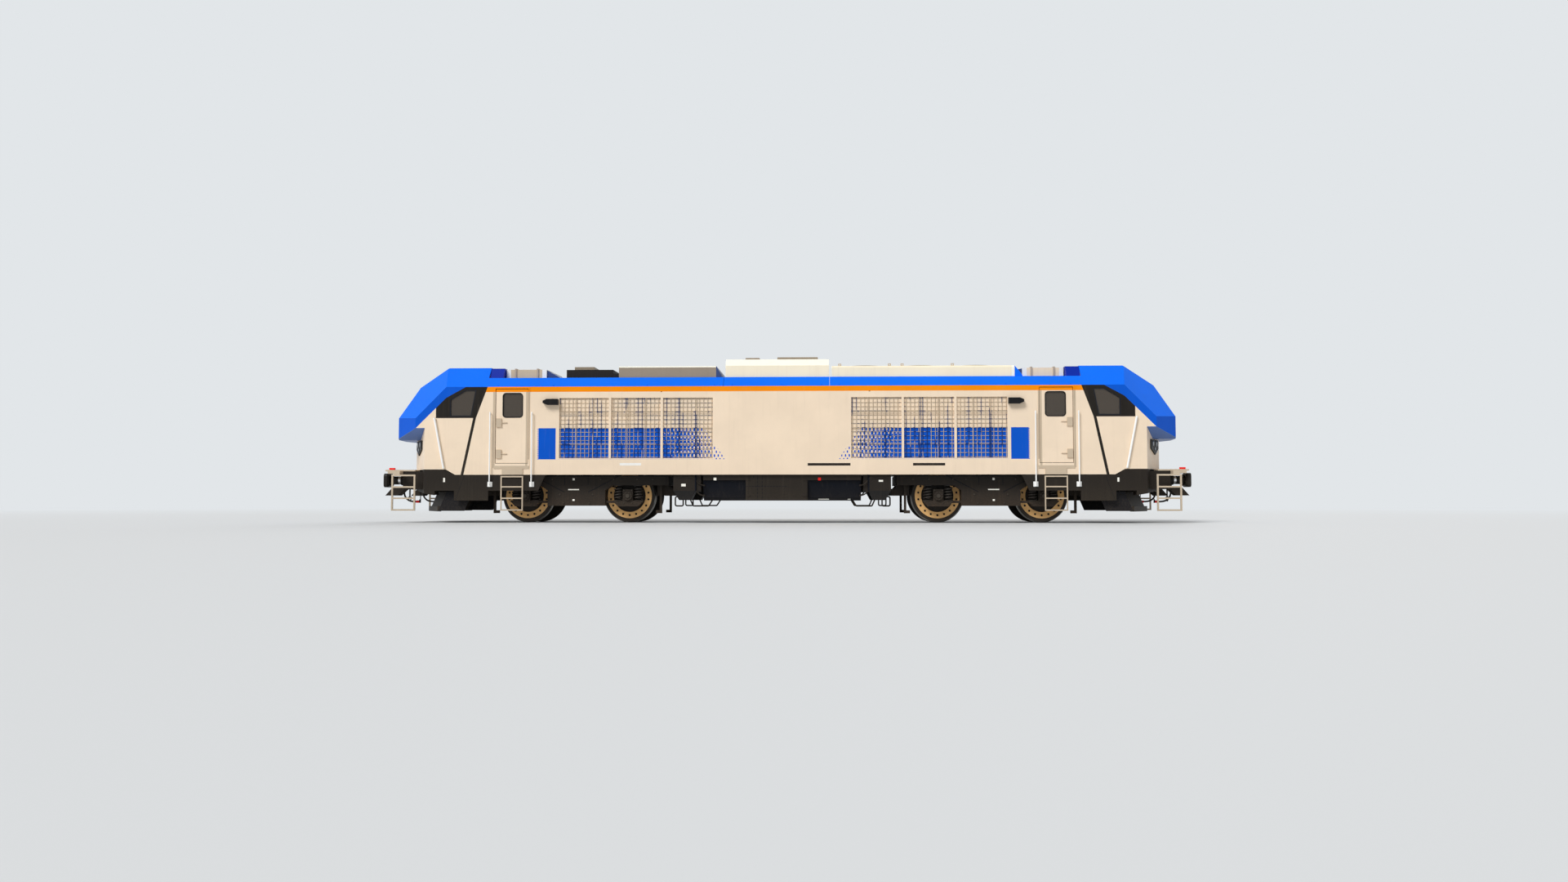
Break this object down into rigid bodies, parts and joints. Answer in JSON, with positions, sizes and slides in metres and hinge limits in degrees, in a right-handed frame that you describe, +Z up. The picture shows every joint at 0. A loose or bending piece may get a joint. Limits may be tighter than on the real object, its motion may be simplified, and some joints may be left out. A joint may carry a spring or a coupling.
{
  "type": "four-axle mainline diesel locomotive",
  "caption": "Double-cab mainline diesel locomotive: hollow cabs with opening side doors, roof housings, air grilles, swivelling bogies and turning wheelsets.",
  "frame": {"origin": "below the middle of the locomotive, level with the lowest point of the wheel flanges", "axes": "+X along the track towards the end with the roof cooler, +Y to the left of it, +Z up"},
  "size_m": [20.5, 3.19, 4.25],
  "materials": {
    "cream_paint": "semi-gloss cream paint on steel panels",
    "blue_paint": "semi-gloss blue paint on steel panels",
    "black_paint": "satin black-brown underframe paint",
    "sand_paint": "satin sand paint",
    "white_paint": "gloss white paint",
    "grille_steel": "painted steel mesh",
    "window_glass": "dark tinted safety glass",
    "wheel_steel": "rolled steel, dark with a worn tread",
    "cast_steel": "painted cast steel",
    "black_plastic": "black moulded plastic",
    "lamp_lens": "dark clear lamp cover",
    "seat_fabric": "woven dark seat cloth",
    "cab_plastic": "grey moulded cab lining",
    "hose_rubber": "black reinforced rubber hose",
    "red_paint": "gloss signal red",
    "engine_iron": "painted engine castings"
  },
  "bodies": {
    "root": {"air_conditioners": "cream_paint", "air_grilles_left": "grille_steel", "air_grilles_right": "grille_steel", "brake_cocks": "black_paint", "brake_hoses": "hose_rubber", "buffer_steps": "black_paint", "buffers": "black_paint", "bulkheads": "cab_plastic", "cab_cowl_a": "blue_paint", "cab_cowl_b": "blue_paint", "cab_glass": "window_glass", "cab_shell_a": "cream_paint", "cab_shell_b": "cream_paint", "camera_pods": "black_plastic", "centre_housing": "cream_paint", "cooler_housing": "cream_paint", "couplers": "black_paint", "driver_desks": "cab_plastic", "driver_seats": "seat_fabric", "end_platforms": "sand_paint", "engine_block": "engine_iron", "exhaust": "black_paint", "filter_housing": "cream_paint", "fuel_tank": "black_paint", "handrail_feet": "white_paint", "handrails": "white_paint", "head_lamps": "lamp_lens", "hose_heads": "red_paint", "ladders": "sand_paint", "marker_lamps": "red_paint", "ploughs": "black_paint", "roof_sections": "blue_paint", "roof_steps": "blue_paint", "sand_boxes": "black_paint", "sand_pipes": "black_paint", "side_wall_left": "cream_paint", "side_wall_right": "cream_paint", "skirts": "black_paint", "underframe": "black_paint", "underframe_beams": "black_paint"},
    "bogie_a": {"axle_boxes_a": "cast_steel", "bogie_frame_a": "black_paint", "springs_a": "black_paint", "traction_motors_a": "cast_steel"},
    "bogie_b": {"axle_boxes_b": "cast_steel", "bogie_frame_b": "black_paint", "springs_b": "black_paint", "traction_motors_b": "cast_steel"},
    "wheels_1": {"wheelset_1": "wheel_steel"},
    "wheels_2": {"wheelset_2": "wheel_steel"},
    "wheels_3": {"wheelset_3": "wheel_steel"},
    "wheels_4": {"wheelset_4": "wheel_steel"},
    "door_a_right_body": {"door_a_right": "cream_paint", "door_glass_a_right": "window_glass"},
    "door_a_left_body": {"door_a_left": "cream_paint", "door_glass_a_left": "window_glass"},
    "door_b_right_body": {"door_b_right": "cream_paint", "door_glass_b_right": "window_glass"},
    "door_b_left_body": {"door_b_left": "cream_paint", "door_glass_b_left": "window_glass"}
  },
  "joints": [
    {"name": "bogie_a_swivel", "type": "hinge", "parent": "root", "child": "bogie_a", "pos_m": [5.25, 0, 0.9], "axis": [0, 0, 1], "range_deg": [-4, 4]},
    {"name": "bogie_b_swivel", "type": "hinge", "parent": "root", "child": "bogie_b", "pos_m": [-5.25, 0, 0.9], "axis": [0, 0, 1], "range_deg": [-4, 4]},
    {"name": "wheelset_1_spin", "type": "hinge", "parent": "bogie_a", "child": "wheels_1", "pos_m": [6.5665, 0, 0.68], "axis": [0, 1, 0], "continuous": true},
    {"name": "wheelset_2_spin", "type": "hinge", "parent": "bogie_a", "child": "wheels_2", "pos_m": [3.9335, 0, 0.68], "axis": [0, 1, 0], "continuous": true},
    {"name": "wheelset_3_spin", "type": "hinge", "parent": "bogie_b", "child": "wheels_3", "pos_m": [-3.9335, 0, 0.68], "axis": [0, 1, 0], "continuous": true},
    {"name": "wheelset_4_spin", "type": "hinge", "parent": "bogie_b", "child": "wheels_4", "pos_m": [-6.5665, 0, 0.68], "axis": [0, 1, 0], "continuous": true},
    {"name": "door_a_right_hinge", "type": "hinge", "parent": "root", "child": "door_a_right_body", "pos_m": [6.426, -1.383, 2.39], "axis": [0, 0, 1], "range_deg": [0, 88]},
    {"name": "door_a_left_hinge", "type": "hinge", "parent": "root", "child": "door_a_left_body", "pos_m": [6.426, 1.383, 2.39], "axis": [0, 0, -1], "range_deg": [0, 88]},
    {"name": "door_b_right_hinge", "type": "hinge", "parent": "root", "child": "door_b_right_body", "pos_m": [-6.426, -1.383, 2.39], "axis": [0, 0, -1], "range_deg": [0, 88]},
    {"name": "door_b_left_hinge", "type": "hinge", "parent": "root", "child": "door_b_left_body", "pos_m": [-6.426, 1.383, 2.39], "axis": [0, 0, 1], "range_deg": [0, 88]}
  ]
}
